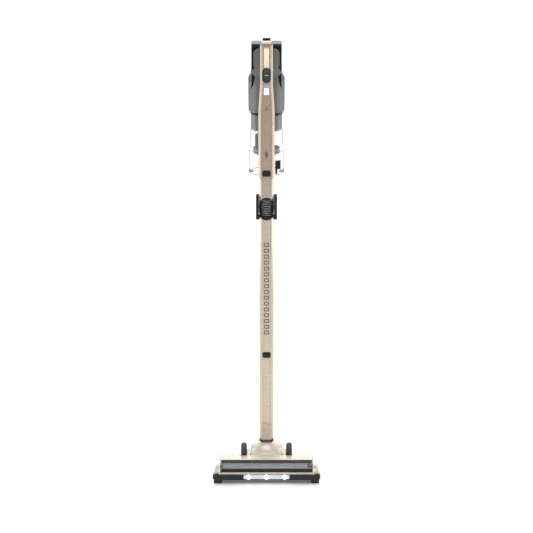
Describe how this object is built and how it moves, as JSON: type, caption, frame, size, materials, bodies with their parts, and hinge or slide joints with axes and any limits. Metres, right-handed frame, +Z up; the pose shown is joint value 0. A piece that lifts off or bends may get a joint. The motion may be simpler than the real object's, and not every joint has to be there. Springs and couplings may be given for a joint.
{
  "type": "cordless stick vacuum cleaner",
  "caption": "Upright cordless stick vacuum with roller floor head, folding tube, clear cyclone bin and removable battery, standing parked.",
  "frame": {"origin": "on the floor, under the centre of the whole vacuum's outline", "axes": "+Z up, -Y forwards past the brush, +X to the right of someone facing the front"},
  "size_m": [0.2752, 0.1648, 1.1201],
  "materials": {
    "champagne_plastic": "satin metallic champagne lacquer",
    "champagne_aluminium": "satin champagne anodised",
    "graphite_plastic": "satin metallic graphite",
    "black_plastic": "fine matt texture",
    "black_gloss_plastic": "gloss",
    "grey_plastic": "matt",
    "wheel_plastic": "matt",
    "silver_plastic": "satin silver",
    "silver_trim": "bright metallised",
    "clear_plastic": "clear, polished",
    "lamp_lens": "frosted, lit from behind",
    "display_lens": "gloss, lit from behind",
    "bumper_rubber": "matt",
    "belt_rubber": "matt, toothed",
    "hose_rubber": "matt, ribbed",
    "tyre_rubber": "matt, fine ribs",
    "brush_fabric": "soft pile with helical bristle rows",
    "filter_fabric": "pleated or felted",
    "steel": "turned",
    "mesh_steel": "perforated sheet",
    "cell_metal": "sleeved cylindrical cells"
  },
  "bodies": {
    "floor_head": {"head_top_cover": "champagne_plastic", "brush_window": "clear_plastic", "end_cap_right": "champagne_plastic", "end_cap_left": "champagne_plastic", "head_chassis": "black_plastic", "sole_plate": "grey_plastic", "front_bumper": "bumper_rubber", "light_bar_lens": "lamp_lens", "axle_arm_right": "champagne_plastic", "axle_arm_left": "champagne_plastic", "brush_motor": "steel", "drive_belt": "belt_rubber"},
    "brush_motor_pulley": {"brush_motor_pulley": "grey_plastic"},
    "brush_roller": {"roller_core": "grey_plastic", "roller_pile": "brush_fabric", "roller_pulley": "grey_plastic"},
    "wheel_right": {"tyre_right": "tyre_rubber", "wheel_hub_right": "wheel_plastic"},
    "wheel_left": {"tyre_left": "tyre_rubber", "wheel_hub_left": "wheel_plastic"},
    "neck_yoke": {"yoke_shell": "champagne_plastic", "suction_elbow": "black_plastic"},
    "neck_tube": {"neck_collar": "black_plastic", "neck_tube": "champagne_aluminium", "neck_clip_panel": "champagne_plastic"},
    "lower_tube": {"lower_tube": "champagne_aluminium", "lower_tube_plug": "black_plastic", "fold_fork_lower": "black_plastic", "fold_pin_right": "steel", "fold_pin_left": "steel"},
    "tube_release_button": {"tube_release_button": "black_plastic"},
    "fold_release_button": {"fold_release_button": "black_plastic"},
    "upper_tube": {"fold_fork_upper": "black_plastic", "upper_tube": "champagne_aluminium", "upper_tube_plug": "black_plastic", "bellows_hose": "hose_rubber"},
    "handheld": {"spine_cover": "champagne_plastic", "spine_rear_shell": "graphite_plastic", "grip_back": "black_plastic", "power_bezel": "black_gloss_plastic", "display_lens": "display_lens", "motor_housing": "graphite_plastic", "housing_ring": "black_plastic", "fan_motor": "steel", "exhaust_filter": "filter_fabric", "inlet_duct": "graphite_plastic"},
    "power_rocker": {"power_rocker": "black_gloss_plastic"},
    "handheld_release_button": {"handheld_release_button": "black_plastic"},
    "fan_impeller": {"fan_impeller": "grey_plastic"},
    "dust_bin": {"bin_shell": "clear_plastic", "bin_collar": "silver_trim", "separator_can": "mesh_steel", "pleated_filter": "filter_fabric", "cyclone_cone": "grey_plastic"},
    "bin_door": {"bin_door": "clear_plastic"},
    "bin_latch": {"bin_latch": "black_plastic"},
    "battery": {"battery_case": "black_plastic", "battery_end_cap": "silver_plastic", "battery_cells": "cell_metal"},
    "battery_latch": {"battery_latch": "black_plastic"}
  },
  "joints": [
    {"name": "brush_spin", "type": "hinge", "parent": "floor_head", "child": "brush_roller", "pos_m": [0, -0.036, 0.024], "axis": [1, 0, 0], "continuous": true},
    {"name": "motor_pulley_spin", "type": "hinge", "parent": "floor_head", "child": "brush_motor_pulley", "pos_m": [0, 0.001, 0.036], "axis": [1, 0, 0], "continuous": true},
    {"name": "wheel_right_spin", "type": "hinge", "parent": "floor_head", "child": "wheel_right", "pos_m": [0.0585, 0.028, 0.038], "axis": [1, 0, 0], "continuous": true},
    {"name": "wheel_left_spin", "type": "hinge", "parent": "floor_head", "child": "wheel_left", "pos_m": [-0.0585, 0.028, 0.038], "axis": [1, 0, 0], "continuous": true},
    {"name": "neck_pitch", "type": "hinge", "parent": "floor_head", "child": "neck_yoke", "pos_m": [0, 0.028, 0.038], "axis": [-1, 0, 0], "range_deg": [0, 85]},
    {"name": "neck_swivel", "type": "hinge", "parent": "neck_yoke", "child": "neck_tube", "pos_m": [0, 0.02539, 0.06789], "axis": [0, -0.0872, 0.9962], "range_deg": [-60, 60]},
    {"name": "tube_detach", "type": "slide", "parent": "neck_tube", "child": "lower_tube", "axis": [0, -0.0872, 0.9962], "range_m": [0, 0.06]},
    {"name": "tube_release_press", "type": "slide", "parent": "lower_tube", "child": "tube_release_button", "axis": [0, 0.9962, 0.0872], "range_m": [0, 0.0009], "stiffness_N_per_m": 600},
    {"name": "fold_release_press", "type": "slide", "parent": "lower_tube", "child": "fold_release_button", "axis": [0, -0.9962, -0.0872], "range_m": [0, 0.0009], "stiffness_N_per_m": 600},
    {"name": "tube_fold", "type": "hinge", "parent": "lower_tube", "child": "upper_tube", "pos_m": [0, -0.03079, 0.70993], "axis": [1, 0, 0], "range_deg": [0, 90], "deforming": ["bellows_hose"]},
    {"name": "handheld_detach", "type": "slide", "parent": "upper_tube", "child": "handheld", "axis": [0, -0.0872, 0.9962], "range_m": [0, 0.05]},
    {"name": "handheld_release_press", "type": "slide", "parent": "handheld", "child": "handheld_release_button", "axis": [0, 0.9962, 0.0872], "range_m": [0, 0.0009], "stiffness_N_per_m": 600},
    {"name": "power_press", "type": "slide", "parent": "handheld", "child": "power_rocker", "axis": [0, 0.9986, -0.0527], "range_m": [0, 0.0008], "stiffness_N_per_m": 600},
    {"name": "fan_spin", "type": "hinge", "parent": "handheld", "child": "fan_impeller", "pos_m": [0, 0.01643, 0.95046], "axis": [0, -0.0872, 0.9962], "continuous": true},
    {"name": "battery_slide", "type": "slide", "parent": "handheld", "child": "battery", "axis": [0, -0.0872, 0.9962], "range_m": [0, 0.1]},
    {"name": "battery_latch_press", "type": "slide", "parent": "battery", "child": "battery_latch", "axis": [0, 0.0872, -0.9962], "range_m": [0, 0.0018], "stiffness_N_per_m": 600},
    {"name": "bin_slide", "type": "slide", "parent": "handheld", "child": "dust_bin", "axis": [0, 0.0872, -0.9962], "range_m": [0, 0.06]},
    {"name": "bin_door_swing", "type": "hinge", "parent": "dust_bin", "child": "bin_door", "pos_m": [0, 0.07904, 0.79131], "axis": [1, 0, 0], "range_deg": [0, 95]},
    {"name": "bin_latch_press", "type": "slide", "parent": "dust_bin", "child": "bin_latch", "axis": [0, 0.0872, -0.9962], "range_m": [0, 0.0018], "stiffness_N_per_m": 600}
  ],
  "couplings": [
    {"joint": "motor_pulley_spin", "follows": "brush_spin", "ratio": 1.8}
  ]
}
